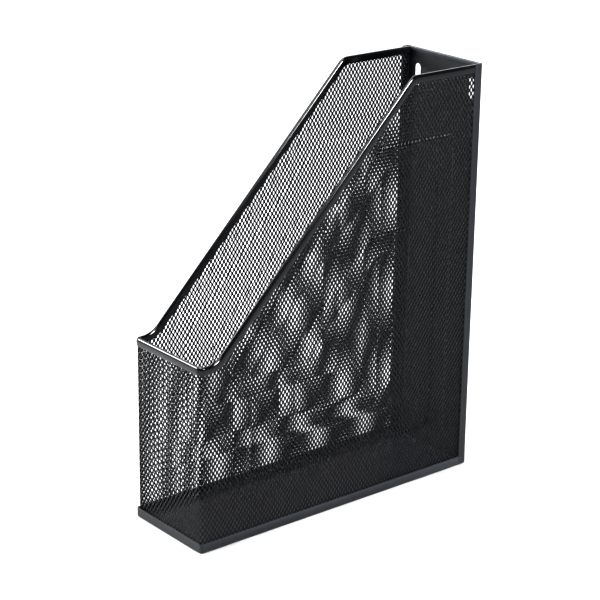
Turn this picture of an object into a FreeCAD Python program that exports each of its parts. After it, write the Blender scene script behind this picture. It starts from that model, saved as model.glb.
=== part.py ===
import FreeCAD, Part
import math
import os

from FreeCAD import Vector

# A desk magazine file: an open-topped, black painted steel holder with mesh walls and a sloping rim.
# Frame: millimetres, +Z up, origin at the centre of the face that it stands on. -Y is the low
# front, +Y the tall back, and X runs across its width.

# ---- overall size ----
WIDTH = 80.0
DEPTH = 258.0
BACK_HEIGHT = 320.0
FRONT_HEIGHT = 141.0        # crown of the rim across the front

# ---- base pan and back panel: pressed sheet steel ----
SHEET = 0.8
LIP = 7.5                   # upstand of the base, and width of the back panel's folded sides
BEND_OUTER = 1.6            # outside radius of every fold
BASE_CORNER = 2.4           # outside radius of the base pan's front corners, seen from above
HEM_THICKNESS = 2.0         # rolled top edge of the back panel
HEM_DROP = 3.0
LAP_LENGTH = 10.0           # tongue of the base floor that lies on the back panel's bottom fold
LAP_SIDE_GAP = 2.0
WELD_GAP = 0.05             # seam between the base lips and the back panel's sides

# ---- hanging slots in the back panel ----
SLOT_WIDTH = 6.0
SLOT_HEIGHT = 17.0
SLOT_FROM_SIDE = 11.0       # side of the holder to the slot's centre line
SLOT_FROM_TOP = 21.0        # top of the back to the slot's centre

# ---- mesh wall: one sheet of flattened expanded steel, bent round the two front corners ----
MESH_THICKNESS = 0.9
MESH_FLOOR_GAP = 0.3        # mesh edge above the bend inside the base lip
MESH_BACK_GAP = 0.3         # mesh edge in front of the bend inside the back panel
MESH_IN_RIM = 3.6           # how far the mesh edge stands inside the rim

# ---- rim: folded steel channel round the mesh's open edge ----
RIM_HEIGHT = 6.0
RIM_THICKNESS = 3.6
RIM_WALL = 0.6
RIM_OUTER_INSET = 0.1       # rim's outer face inside the base lip's outer face
RIM_CORNER = 5.0            # outside radius at the front corners, seen from above
RIM_SLIT_GAP = 0.1          # clearance between the mesh and each edge of the rim's slit
RIM_LIP_CURVE = 2.0         # height over which the outer edge turns in to the mesh
RIM_LIP_EDGE = 0.15         # steel left at the end of that turned edge
RIM_CURL = 1.2              # outside radius of the inner edge's curl
RIM_TOP_DROP = 0.4          # rim crown below the back panel's top
RIM_FLANGE_GAP = 0.1        # clearance where the rim's end passes the back panel's side
RIM_BACK_GAP = 0.2
TOP_RUN = 67.0              # back face to the corner of the rim's centre line at the top
LOW_RUN = 15.5              # front face to the corner of the rim's centre line at the bottom
TOP_BEND = 10.0             # centre-line radii of the two bends
LOW_BEND = 20.0

# ---- stiffening ribs pressed outwards in each side of the mesh ----
RIB_WIDTH = 17.0
RIB_RISE = 0.8
RIB_WALL_RUN = 2.0          # length of the slope at each edge of a rib
RIB_CORNER = 8.0            # outside radius of a rib's square corners
RIB_WIDE_CORNER = 16.0      # and of its two corners on the slope
CORNER_SHARE = 0.45         # most of a short side that one rounded corner may take
# each rib's outer outline: distance from the front, back and base, length of its level top side,
# and distance of its sloping side below the rim's centre line
OUTER_RIB = (29.0, 25.0, 28.0, 72.2, 9.7)
INNER_RIB = (69.0, 66.0, 68.0, 37.3, 50.2)

# ---- modelling allowances ----
TINY = 1e-6                 # two places closer than this are the same
OVERRUN = 1.0               # how far a cutter runs past what it cuts

# ---- worked out from the sizes above ----
HALF_W = WIDTH / 2
HALF_D = DEPTH / 2
MESH_OUT = HALF_W - SHEET                       # outer face of the mesh, against the lips
MESH_IN = MESH_OUT - MESH_THICKNESS
RIM_OUT = HALF_W - RIM_OUTER_INSET
BEND_CENTRE = RIM_OUT - RIM_CORNER              # centre of the rim's and the mesh's front bends
FRONT_BEND_Y = -HALF_D + RIM_OUTER_INSET + RIM_CORNER
BACK_INNER_Y = HALF_D - SHEET
FLANGE_Y = HALF_D - LIP                         # front edge of the back panel's folded sides
TOP_MID_Z = BACK_HEIGHT - RIM_TOP_DROP - RIM_HEIGHT / 2
LOW_MID_Z = FRONT_HEIGHT - RIM_HEIGHT / 2
TOP_VERTEX = Vector(0, HALF_D - TOP_RUN, TOP_MID_Z)
LOW_VERTEX = Vector(0, -HALF_D + LOW_RUN, LOW_MID_Z)
SLOPE = math.atan2(TOP_VERTEX.z - LOW_VERTEX.z, TOP_VERTEX.y - LOW_VERTEX.y)
X_AXIS = Vector(1, 0, 0)
Y_AXIS = Vector(0, 1, 0)
Z_AXIS = Vector(0, 0, 1)
ORIGIN = Vector(0, 0, 0)


def box(x0, x1, y0, y1, z0, z1):
    """A block from its lowest to its highest corner."""
    return Part.makeBox(x1 - x0, y1 - y0, z1 - z0, Vector(x0, y0, z0))


def line(a, b):
    return Part.LineSegment(a, b).toShape()


def arc(a, middle, b):
    return Part.Arc(a, middle, b).toShape()


def mirrored(shape):
    """The same piece on the other side of the holder's middle plane."""
    return shape.mirror(ORIGIN, X_AXIS)


def rounded_wire(points, radii):
    """A closed wire through points, each corner rounded with its own radius by one tangent arc.

    A radius is limited so that its arc takes at most CORNER_SHARE of the shorter side beside it.
    """
    edges = []
    starts = []
    ends = []
    n = len(points)
    for i, corner in enumerate(points):
        before = points[i - 1] - corner
        after = points[(i + 1) % n] - corner
        room = CORNER_SHARE * min(before.Length, after.Length)
        before.normalize()
        after.normalize()
        half = before.getAngle(after) / 2
        reach = min(radii[i] / math.tan(half), room)
        radius = reach * math.tan(half)
        middle_way = (before + after).normalize()
        centre = corner + middle_way * (radius / math.sin(half))
        starts.append(corner + before * reach)
        ends.append(corner + after * reach)
        edges.append(arc(starts[-1], centre - middle_way * radius, ends[-1]))
    sides = [line(ends[i], starts[(i + 1) % n]) for i in range(n)]
    return Part.Wire(Part.__sortEdges__(edges + sides))


def block(wire, height):
    """A closed wire on a level plane, raised by height."""
    return Part.Face(wire).extrude(Z_AXIS * height)


def pan_outline(inset, corner, z, back_y):
    """The base pan seen from above: round front corners, square where it meets the back panel."""
    side = HALF_W - inset
    front = -HALF_D + inset
    radius = corner - inset
    points = [
        Vector(-side, back_y, z),
        Vector(-side, front, z),
        Vector(side, front, z),
        Vector(side, back_y, z),
    ]
    a = Vector(-side, front + radius, z)
    b = Vector(-side + radius, front, z)
    c = Vector(side - radius, front, z)
    d = Vector(side, front + radius, z)
    turn = radius * (1 - math.sqrt(0.5))
    return Part.Wire([
        line(points[0], a),
        arc(a, Vector(-side + turn, front + turn, z), b),
        line(b, c),
        arc(c, Vector(side - turn, front + turn, z), d),
        line(d, points[3]),
        line(points[3], points[0]),
    ])


def base_pan():
    """Floor with an upstanding lip at the front and both sides, and a tongue over the back's fold."""
    end_y = FLANGE_Y - WELD_GAP
    outer = block(pan_outline(0, BASE_CORNER, 0, HALF_D), LIP)
    bottom_edges = []
    for edge in outer.Edges:
        low = edge.BoundBox
        if low.ZMax < TINY and low.YMin < HALF_D - TINY:
            bottom_edges.append(edge)
    outer = outer.makeFillet(BEND_OUTER, bottom_edges)
    inner = block(pan_outline(SHEET, BASE_CORNER, SHEET, HALF_D + OVERRUN), LIP)
    inner_bend = BEND_OUTER - SHEET
    low_edges = []
    for edge in inner.Edges:
        low = edge.BoundBox
        if abs(low.ZMax - SHEET) < TINY and low.YMin < HALF_D:
            low_edges.append(edge)
    inner = inner.makeFillet(inner_bend, low_edges)
    pan = outer.cut(inner)
    pan = pan.cut(box(-WIDTH, WIDTH, end_y, DEPTH, -OVERRUN, BACK_HEIGHT))
    side = HALF_W - BEND_OUTER - LAP_SIDE_GAP
    step = box(-side, side, end_y - LAP_LENGTH / 2, end_y, SHEET, 2 * SHEET)
    tongue = box(-side, side, end_y, end_y + LAP_LENGTH / 2, SHEET, 2 * SHEET)
    return pan.fuse(step).fuse(tongue).removeSplitter()


def back_tray(inset, top_z, front_y):
    """The back panel's outside, or its inside when inset by the sheet, rounded at its folds."""
    low_z = inset
    side = HALF_W - inset
    back = HALF_D - inset
    radius = BEND_OUTER - inset
    tray = box(-side, side, front_y, back, low_z, top_z)
    folds = []
    for edge in tray.Edges:
        b = edge.BoundBox
        upright = b.ZLength > LIP and b.YMin > back - TINY
        bottom_back = b.ZMax < low_z + TINY and b.YMin > back - TINY
        bottom_side = b.ZMax < low_z + TINY and b.XLength < TINY
        if upright or bottom_back or bottom_side:
            folds.append(edge)
    return tray.makeFillet(radius, folds)


def slot_cutter(x):
    """An upright slot with round ends, right through the back panel."""
    z = BACK_HEIGHT - SLOT_FROM_TOP
    half = (SLOT_HEIGHT - SLOT_WIDTH) / 2
    y0 = HALF_D - LIP
    depth = 2 * LIP
    r = SLOT_WIDTH / 2
    middle = box(x - r, x + r, y0, y0 + depth, z - half, z + half)
    upper = Part.makeCylinder(r, depth, Vector(x, y0, z + half), Y_AXIS)
    lower = Part.makeCylinder(r, depth, Vector(x, y0, z - half), Y_AXIS)
    return middle.fuse(upper).fuse(lower)


def hem():
    """The rolled top edge: the sheet turned forwards over itself, with a round crown."""
    radius = HEM_THICKNESS / 2
    z = BACK_HEIGHT - radius
    y_back = HALF_D
    y_front = HALF_D - HEM_THICKNESS
    length = WIDTH - 2 * BEND_OUTER
    x0 = -length / 2
    crown = Part.makeCylinder(radius, length, Vector(x0, HALF_D - radius, z), X_AXIS)
    crown = crown.common(box(x0, -x0, y_front, y_back, z, BACK_HEIGHT))
    hollow = Part.makeCylinder(radius - SHEET, length, Vector(x0, HALF_D - radius, z), X_AXIS)
    turned = box(x0, -x0, y_front, y_front + SHEET, BACK_HEIGHT - HEM_DROP, z)
    return crown.cut(hollow).fuse(turned)


def back_panel():
    """Upright sheet with folded sides and bottom, a rolled top edge and two hanging slots."""
    outer = back_tray(0, BACK_HEIGHT, FLANGE_Y)
    inner = back_tray(SHEET, BACK_HEIGHT + OVERRUN, FLANGE_Y - OVERRUN)
    panel = outer.cut(inner)
    crown_z = BACK_HEIGHT - HEM_THICKNESS / 2
    reach = HALF_W - BEND_OUTER
    above = BACK_HEIGHT + OVERRUN
    panel = panel.cut(box(-reach, reach, BACK_INNER_Y - TINY, HALF_D + OVERRUN, crown_z, above))
    panel = panel.fuse(hem())
    for x in (-HALF_W + SLOT_FROM_SIDE, HALF_W - SLOT_FROM_SIDE):
        panel = panel.cut(slot_cutter(x))
    return panel.removeSplitter()


def side_outline(shift):
    """The open edge of a side wall from back to front, moved up from the rim's centre line by shift.

    Two straight runs and the slope, joined by tangent arcs. The shift keeps every arc's centre.
    """
    top_reach = TOP_BEND * math.tan(SLOPE / 2)
    low_reach = LOW_BEND * math.tan(SLOPE / 2)
    top_centre = Vector(0, TOP_VERTEX.y + top_reach, TOP_VERTEX.z - TOP_BEND)
    low_centre = Vector(0, LOW_VERTEX.y - low_reach, LOW_VERTEX.z + LOW_BEND)
    r_top = TOP_BEND + shift
    r_low = LOW_BEND - shift

    def on_top(angle):
        return top_centre + Vector(0, -math.sin(angle), math.cos(angle)) * r_top

    def on_low(angle):
        return low_centre + Vector(0, math.sin(angle), -math.cos(angle)) * r_low

    return {
        "back": Vector(0, BACK_INNER_Y, TOP_MID_Z + shift),
        "top": [on_top(0), on_top(SLOPE / 2), on_top(SLOPE)],
        "low": [on_low(SLOPE), on_low(SLOPE / 2), on_low(0)],
        "front": Vector(0, FRONT_BEND_Y, LOW_MID_Z + shift),
        "top_centre": top_centre,
        "low_centre": low_centre,
    }


def moved(point, x):
    return Vector(x, point.y, point.z)


def side_profile_solid(shift, x0, x1, back_y, front_y, floor_z):
    """Everything under the open edge's outline, between two planes across the width."""
    o = side_outline(shift)
    back = Vector(x0, back_y, o["back"].z)
    front = Vector(x0, front_y, o["front"].z)
    t = [moved(p, x0) for p in o["top"]]
    w = [moved(p, x0) for p in o["low"]]
    wire = Part.Wire([
        line(back, t[0]),
        arc(t[0], t[1], t[2]),
        line(t[2], w[0]),
        arc(w[0], w[1], w[2]),
        line(w[2], front),
        line(front, Vector(x0, front_y, floor_z)),
        line(Vector(x0, front_y, floor_z), Vector(x0, back_y, floor_z)),
        line(Vector(x0, back_y, floor_z), back),
    ])
    return Part.Face(wire).extrude(Vector(x1 - x0, 0, 0))


def wall_loop(distance, z, height):
    """A U-shaped block in plan, its outer face at distance from the middle, round at the front."""
    radius = distance - BEND_CENTRE
    front = FRONT_BEND_Y - radius
    a = Vector(-distance, FRONT_BEND_Y, z)
    b = Vector(-BEND_CENTRE, front, z)
    c = Vector(BEND_CENTRE, front, z)
    d = Vector(distance, FRONT_BEND_Y, z)
    turn = radius * math.sqrt(0.5)
    back_y = BACK_INNER_Y - (BEND_OUTER - SHEET) - MESH_BACK_GAP
    wire = Part.Wire([
        line(Vector(-distance, back_y, z), a),
        arc(a, Vector(-BEND_CENTRE - turn, FRONT_BEND_Y - turn, z), b),
        line(b, c),
        arc(c, Vector(BEND_CENTRE + turn, FRONT_BEND_Y - turn, z), d),
        line(d, Vector(distance, back_y, z)),
        line(Vector(distance, back_y, z), Vector(-distance, back_y, z)),
    ])
    return block(wire, height)


def rib_corners(outline, inward):
    """The five corners of a rib's outline, moved inwards by a distance, as points of a side wall."""
    front_gap, back_gap, low_gap, top_side, slope_gap = outline
    front = -HALF_D + front_gap + inward
    back = HALF_D - back_gap - inward
    low = low_gap + inward
    # height of the sloping side at y = 0; the level top meets it top_side in front of the back side
    slope_z = TOP_VERTEX.z - TOP_VERTEX.y * math.tan(SLOPE) - slope_gap / math.cos(SLOPE)
    top = slope_z + (HALF_D - back_gap - top_side) * math.tan(SLOPE) - inward
    slope_z -= inward / math.cos(SLOPE)
    return [
        Vector(0, front, low),
        Vector(0, back, low),
        Vector(0, back, top),
        Vector(0, (top - slope_z) / math.tan(SLOPE), top),
        Vector(0, front, slope_z + front * math.tan(SLOPE)),
    ]


def rib_wire(outline, inward, tighter, x):
    """A rib's outline on a plane across the width, its corners tighter by the given amount."""
    corners = [moved(p, x) for p in rib_corners(outline, inward)]
    square = RIB_CORNER - tighter
    wide = RIB_WIDE_CORNER - tighter
    return rounded_wire(corners, [square, square, square, wide, wide])


def raised_field(outline, start, slope_run, x):
    """A flat-topped field with sloping edges, standing RIB_RISE out from the plane at x."""
    low = rib_wire(outline, start, 0, x)
    high = rib_wire(outline, start + slope_run, slope_run, x + RIB_RISE)
    return Part.makeLoft([low, high], True, True)


def rib(outline, x):
    """The space of one rib on the plane at x: a raised field less the field inside it."""
    whole = raised_field(outline, 0, RIB_WALL_RUN, x)
    inside = raised_field(outline, RIB_WIDTH, -RIB_WALL_RUN, x)
    return whole.cut(inside)


def mesh_wall():
    """Both sides and the front in one bent sheet, with two nested ribs pressed in each side."""
    floor_z = BEND_OUTER + MESH_FLOOR_GAP
    sheet = wall_loop(MESH_OUT, floor_z, BACK_HEIGHT)
    below = floor_z - OVERRUN
    above = BACK_HEIGHT + OVERRUN
    inside = wall_loop(MESH_IN, below, above).fuse(
        box(-MESH_IN, MESH_IN, FRONT_BEND_Y, HALF_D, below, above))
    sheet = sheet.cut(inside)
    shift = MESH_IN_RIM - RIM_HEIGHT / 2
    sheet = sheet.common(side_profile_solid(shift, -WIDTH, WIDTH, HALF_D, -DEPTH, floor_z))
    for outline in (OUTER_RIB, INNER_RIB):
        for flip in (False, True):
            pressed_out = rib(outline, MESH_OUT)
            pressed_in = rib(outline, MESH_IN)
            if flip:
                pressed_out = mirrored(pressed_out)
                pressed_in = mirrored(pressed_in)
            sheet = sheet.fuse(pressed_out).cut(pressed_in)
    return sheet.removeSplitter()


def rim_section():
    """The rim's cross-section: offsets outwards from its outer face, and heights from its low edge."""
    r = RIM_THICKNESS / 2
    shoulder = RIM_HEIGHT - r
    slit_out = RIM_OUT - MESH_OUT - RIM_SLIT_GAP        # both measured inwards from the outer face
    slit_in = RIM_OUT - MESH_IN + RIM_SLIT_GAP
    t = RIM_THICKNESS
    curl = RIM_CURL
    inner_curl = RIM_CURL - RIM_WALL
    lip_edge = slit_out - RIM_LIP_EDGE
    lip_radius = (lip_edge ** 2 + RIM_LIP_CURVE ** 2) / (2 * lip_edge)
    half_turn = math.asin(RIM_LIP_CURVE / lip_radius) / 2
    lip_mid = (
        lip_radius * (1 - math.cos(half_turn)),
        RIM_LIP_CURVE - lip_radius * math.sin(half_turn),
    )
    cavity = r - RIM_WALL
    cavity_side = t - RIM_WALL
    drop = math.sqrt(cavity ** 2 - (r - slit_out) ** 2) if r - slit_out < cavity else 0.0
    diagonal = math.sqrt(0.5)
    slit_angle = math.atan2(drop, r - slit_out)
    top_angle = (math.pi + slit_angle) / 2
    return [
        ("line", (slit_out, 0), (lip_edge, 0)),
        ("arc", (lip_edge, 0), lip_mid, (0, RIM_LIP_CURVE)),
        ("line", (0, RIM_LIP_CURVE), (0, shoulder)),
        ("arc", (0, shoulder), (r, RIM_HEIGHT), (t, shoulder)),
        ("line", (t, shoulder), (t, curl)),
        ("arc", (t, curl), (t - curl + curl * diagonal, curl - curl * diagonal), (t - curl, 0)),
        ("line", (t - curl, 0), (slit_in, 0)),
        ("line", (slit_in, 0), (slit_in, RIM_WALL)),
        ("line", (slit_in, RIM_WALL), (t - curl, RIM_WALL)),
        ("arc", (t - curl, RIM_WALL),
         (t - curl + inner_curl * diagonal, curl - inner_curl * diagonal), (cavity_side, curl)),
        ("line", (cavity_side, curl), (cavity_side, shoulder)),
        ("arc", (cavity_side, shoulder),
         (r - cavity * math.cos(top_angle), shoulder + cavity * math.sin(top_angle)),
         (slit_out, shoulder + drop)),
        ("line", (slit_out, shoulder + drop), (slit_out, 0)),
    ]


def rim_face(origin, inwards, up):
    """The rim's cross-section placed in space: origin on its outer face, halfway up."""
    def place(pair):
        return origin + inwards * pair[0] + up * (pair[1] - RIM_HEIGHT / 2)

    edges = []
    for kind, *points in rim_section():
        placed = [place(p) for p in points]
        edges.append(line(*placed) if kind == "line" else arc(*placed))
    return Part.Face(Part.Wire(edges))


def top_rim():
    """One channel: back to front along the right side, across the front, and back on the left."""
    o = side_outline(0)
    inwards = Vector(-1, 0, 0)
    up_slope = Vector(0, -math.sin(SLOPE), math.cos(SLOPE))
    back = Vector(RIM_OUT, BACK_INNER_Y - RIM_BACK_GAP, TOP_MID_Z)
    top = [moved(p, RIM_OUT) for p in o["top"]]
    low = [moved(p, RIM_OUT) for p in o["low"]]
    front = moved(o["front"], RIM_OUT)
    degrees = math.degrees(SLOPE)
    pieces = [
        rim_face(back, inwards, Z_AXIS).extrude(top[0] - back),
        rim_face(top[0], inwards, Z_AXIS).revolve(moved(o["top_centre"], 0), X_AXIS, degrees),
        rim_face(top[2], inwards, up_slope).extrude(low[0] - top[2]),
        rim_face(low[0], inwards, up_slope).revolve(moved(o["low_centre"], 0), X_AXIS, -degrees),
        rim_face(low[2], inwards, Z_AXIS).extrude(front - low[2]),
        rim_face(front, inwards, Z_AXIS).revolve(
            Vector(BEND_CENTRE, FRONT_BEND_Y, 0), Z_AXIS, -90),
    ]
    side = pieces[0]
    for piece in pieces[1:]:
        side = side.fuse(piece)
    front_start = Vector(BEND_CENTRE, FRONT_BEND_Y - RIM_CORNER, LOW_MID_Z)
    across = rim_face(front_start, Y_AXIS, Z_AXIS).extrude(Vector(-2 * BEND_CENTRE, 0, 0))
    rim = side.fuse(across).fuse(mirrored(side)).removeSplitter()
    # notched where its ends pass inside the back panel's folded sides and rolled edge
    notch = MESH_OUT - RIM_FLANGE_GAP
    for x0, x1 in ((notch, WIDTH), (-WIDTH, -notch)):
        rim = rim.cut(box(x0, x1, FLANGE_Y - RIM_FLANGE_GAP, HALF_D, 0, BACK_HEIGHT + OVERRUN))
    hem_front = HALF_D - HEM_THICKNESS - RIM_FLANGE_GAP
    hem_low = BACK_HEIGHT - HEM_DROP - RIM_FLANGE_GAP
    return rim.cut(box(-WIDTH, WIDTH, hem_front, HALF_D, hem_low, BACK_HEIGHT + OVERRUN))


def main():
    os.makedirs("parts", exist_ok=True)
    nodes = {
        "base_pan": base_pan,
        "back_panel": back_panel,
        "mesh_wall": mesh_wall,
        "top_rim": top_rim,
    }
    for name, make in nodes.items():
        shape = make()
        shape.exportStep("parts/%s.step" % name)
        b = shape.BoundBox
        print("%-12s valid %s solids %d volume %8.1f  x %.2f..%.2f y %.2f..%.2f z %.2f..%.2f" % (
            name, shape.isValid(), len(shape.Solids), shape.Volume,
            b.XMin, b.XMax, b.YMin, b.YMax, b.ZMin, b.ZMax))


main()
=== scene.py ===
"""The look of a desk magazine file: black painted steel with mesh walls and a sloping gloss rim.

Metres, +Z up, origin at the centre of the face that it stands on. -Y is the low front, +Y the
tall back, X runs across the width. The mesh wall and the rim are worked out here as fine
surfaces and stand for the plain CAD solids, in the same place and to the same sizes.
"""

import math

import bmesh
import bpy
import numpy as np
from mathutils import Matrix, Vector, geometry


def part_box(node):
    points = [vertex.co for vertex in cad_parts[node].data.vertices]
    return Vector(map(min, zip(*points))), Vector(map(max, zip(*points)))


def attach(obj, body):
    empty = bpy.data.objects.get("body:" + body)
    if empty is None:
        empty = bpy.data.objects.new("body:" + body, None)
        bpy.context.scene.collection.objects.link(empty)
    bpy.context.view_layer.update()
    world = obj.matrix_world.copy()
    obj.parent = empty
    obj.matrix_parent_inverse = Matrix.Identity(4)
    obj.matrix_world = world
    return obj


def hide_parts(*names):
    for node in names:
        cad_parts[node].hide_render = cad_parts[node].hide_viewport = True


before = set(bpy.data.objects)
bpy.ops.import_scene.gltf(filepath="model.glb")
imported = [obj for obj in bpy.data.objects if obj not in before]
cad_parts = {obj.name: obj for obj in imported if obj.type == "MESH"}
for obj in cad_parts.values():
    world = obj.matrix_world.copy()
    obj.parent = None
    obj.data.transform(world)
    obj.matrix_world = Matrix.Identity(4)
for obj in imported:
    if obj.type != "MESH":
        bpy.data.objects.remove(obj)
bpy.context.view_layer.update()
MM = 0.001
QUARTER = math.pi / 2                   # a quarter turn
JOIN = 1e-6                             # points closer than this are one

# ---- places read from the frame ----
_, pan_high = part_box("base_pan")
_, back_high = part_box("back_panel")
mesh_low, mesh_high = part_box("mesh_wall")
rim_low, rim_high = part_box("top_rim")
HALF_W = back_high.x
HALF_D = back_high.y
TOP = back_high.z
LIP = pan_high.z                        # upstand of the base, and width of the back's folded sides
RIM_OUT = rim_high.x                    # outer face of the rim
RIM_FRONT_LOW = rim_low.z               # lower edge of the rim across the front
RIM_TOP = rim_high.z
MESH_LOW = mesh_low.z                   # cut edges of the mesh
MESH_BACK = mesh_high.y

# ---- sheet and mesh ----
SHEET = 0.8 * MM
MESH_THICKNESS = 0.9 * MM
MESH_OUT = HALF_W - SHEET               # outer face of the mesh, against the lips
MESH_MID = MESH_OUT - MESH_THICKNESS / 2
DIAMOND_WIDTH = 3.53 * MM               # pitch of the openings along a row
DIAMOND_HEIGHT = 5.2 * MM               # pitch up a column; the rows between are set half across
OPENING_WIDTH = 2.05 * MM
OPENING_HEIGHT = 3.35 * MM
OPENING_ROUNDNESS = 1.45                # power of the opening's outline: 1 a diamond, 2 an ellipse
STRAND = 0.6 * MM                       # thickness of a strand at its middle
STRAND_EDGE = 0.44 * MM                 # and at its edges
LOUVRE = 0.22 * MM                      # how far the stretching turned a strand's edges out of plane
SQUASH = 0.8 * MM                       # band at a cut edge in which the strands close up
SPLIT_COLUMN = 23                       # columns each side of the middle that make the front piece

# ---- base pan and back panel ----
BEND = 1.6 * MM                         # outside radius of every fold
BASE_CORNER = 2.4 * MM                  # outside radius of the base's front corners, from above
EDGE = 0.15 * MM                        # rounding that the coat gives to a cut edge
HEM_THICKNESS = 2.0 * MM                # rolled top edge of the back, front to back
HEM_DROP = 3.0 * MM                     # how far the rolled edge comes back down
LAP_LENGTH = 10.0 * MM                  # overlap of the base and the back's bottom fold
LAP_SIDE_GAP = 2.0 * MM                 # from the lap to the folds beside it
SLOT_WIDTH = 6.0 * MM
SLOT_HEIGHT = 17.0 * MM
SLOT_FROM_SIDE = 11.0 * MM              # to the slot's middle
SLOT_FROM_TOP = 21.0 * MM               # to the slot's middle

# ---- rim: folded channel ----
RIM_HEIGHT = 6.0 * MM
RIM_THICKNESS = 3.6 * MM
RIM_WALL = 0.6 * MM
RIM_CORNER = 5.0 * MM                   # outside radius at the front corners, seen from above
RIM_SLIT_GAP = 0.1 * MM                 # between the mesh and the channel's slit
RIM_CROWN = 2.6 * MM                    # height of the crown's rounding down the outer face
RIM_LIP_CURVE = RIM_HEIGHT - RIM_CROWN  # height of the outer face's inward curve below it
RIM_LIP_EDGE = 0.15 * MM                # metal left at the turned-in lower edge
RIM_CURL = 1.2 * MM                     # outside radius of the inner leg's curl
RIM_FLANGE_GAP = 0.1 * MM               # from the channel to the back's folded sides
MESH_IN_RIM = 3.6 * MM                  # how far the mesh reaches up inside the channel
TOP_RUN = 67.0 * MM                     # back face to the corner of the rim's centre line, top
LOW_RUN = 15.5 * MM                     # front face to the corner of the rim's centre line, low
TOP_BEND = 10.0 * MM
LOW_BEND = 20.0 * MM

# ---- ribs pressed outwards in each side ----
RIB_WIDTH = 17.0 * MM
RIB_RISE = 0.8 * MM
RIB_WALL_RUN = 2.0 * MM                 # width of the slope at a rib's edge
RIB_CORNER = 8.0 * MM
RIB_WIDE_CORNER = 16.0 * MM
CORNER_SHARE = 0.45                     # most of a side that one corner's rounding takes
# distance from the front, back and base, length of the level top, and distance below the rim
OUTER_RIB = np.array((29.0, 25.0, 28.0, 72.2, 9.7)) * MM
INNER_RIB = np.array((69.0, 66.0, 68.0, 37.3, 50.2)) * MM

# ---- worked out from those ----
BEND_CENTRE = RIM_OUT - RIM_CORNER
FRONT_BEND_Y = rim_low.y + RIM_CORNER
BEND_RADIUS = MESH_MID - BEND_CENTRE    # front bends of the mesh, at half its thickness
BEND_LENGTH = BEND_RADIUS * QUARTER
SIDE_START = BEND_CENTRE + BEND_LENGTH  # developed distance from the middle of the front
SIDE_LENGTH = MESH_BACK - FRONT_BEND_Y
TOP_MID_Z = RIM_TOP - RIM_HEIGHT / 2
LOW_MID_Z = RIM_FRONT_LOW + RIM_HEIGHT / 2
TOP_VERTEX = np.array((HALF_D - TOP_RUN, TOP_MID_Z))
LOW_VERTEX = np.array((-HALF_D + LOW_RUN, LOW_MID_Z))
SLOPE = math.atan2(*(TOP_VERTEX - LOW_VERTEX)[::-1])
TOP_CENTRE = TOP_VERTEX + (TOP_BEND * math.tan(SLOPE / 2), -TOP_BEND)
LOW_CENTRE = LOW_VERTEX + (-LOW_BEND * math.tan(SLOPE / 2), LOW_BEND)


# ---------------------------------------------------------------- meshes

def make_piece(name, points, faces, normals):
    """A mesh from arrays of points, their normals and four-cornered faces, on the holder."""
    mesh = bpy.data.meshes.new(name)
    faces = np.asarray(faces, np.int32)
    corners = faces.shape[1]
    mesh.vertices.add(len(points))
    mesh.vertices.foreach_set("co", np.asarray(points, np.float32).ravel())
    mesh.loops.add(faces.size)
    mesh.loops.foreach_set("vertex_index", faces.ravel())
    mesh.polygons.add(len(faces))
    mesh.polygons.foreach_set("loop_start", np.arange(len(faces), dtype=np.int32) * corners)
    mesh.update(calc_edges=True)
    mesh.polygons.foreach_set("use_smooth", np.ones(len(faces), bool))
    mesh.normals_split_custom_set_from_vertices(normals.tolist())
    piece = bpy.data.objects.new(name, mesh)
    bpy.context.scene.collection.objects.link(piece)
    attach(piece, "root")
    return piece


def vertex_normals(points, faces):
    """At each point, the sum of the normals of the faces round it, each as large as its face."""
    a, b, c, d = (points[faces[:, k]] for k in range(4))
    face_normal = np.cross(c - a, d - b)
    total = np.zeros_like(points)
    for k in range(4):
        for axis in range(3):
            total[:, axis] += np.bincount(faces[:, k], face_normal[:, axis], len(points))
    return total / np.linalg.norm(total, axis=1, keepdims=True)


# ---------------------------------------------------------------- the open edge of a side wall

def depth_below_edge(y, z, shift):
    """Distance of side-wall points below the open edge, and the direction straight away from it.

    The edge is the rim's centre line moved up by shift: level, then an arc, the slope, an arc,
    and level again. Distance is to the nearest of these, positive below.
    """
    along = np.array((math.cos(SLOPE), math.sin(SLOPE)))
    down = np.array((math.sin(SLOPE), -math.cos(SLOPE)))
    slope_point = TOP_VERTEX - down * shift
    slope_depth = (y - slope_point[0]) * down[0] + (z - slope_point[1]) * down[1]
    top_depth = TOP_MID_Z + shift - z
    low_depth = LOW_MID_Z + shift - z
    travel = y * along[0] + z * along[1]
    top_turn = TOP_CENTRE @ along
    low_turn = LOW_CENTRE @ along
    on_top = y >= TOP_CENTRE[0]
    on_low = y <= LOW_CENTRE[0]
    top_away = np.stack((TOP_CENTRE[0] - y, TOP_CENTRE[1] - z), -1)
    top_reach = np.maximum(np.linalg.norm(top_away, axis=-1), 1e-9)
    low_away = np.stack((y - LOW_CENTRE[0], z - LOW_CENTRE[1]), -1)
    low_reach = np.maximum(np.linalg.norm(low_away, axis=-1), 1e-9)
    in_top_arc = ~on_top & (travel > top_turn) & (z > TOP_CENTRE[1] - TOP_BEND)
    in_low_arc = ~on_low & (travel < low_turn)
    depth = np.where(on_low, low_depth, slope_depth)
    depth = np.where(on_top, np.where(on_low, low_depth, top_depth), depth)
    depth = np.where(in_top_arc, TOP_BEND + shift - top_reach, depth)
    depth = np.where(in_low_arc & ~on_top, low_reach - (LOW_BEND - shift), depth)
    level = np.broadcast_to(np.array((0.0, -1.0)), top_away.shape)
    away = np.where((on_top | on_low)[..., None], level, down)
    away = np.where(in_top_arc[..., None], top_away / top_reach[..., None], away)
    away = np.where((in_low_arc & ~on_top)[..., None], low_away / low_reach[..., None], away)
    return depth, away


# ---------------------------------------------------------------- pressed ribs

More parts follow.
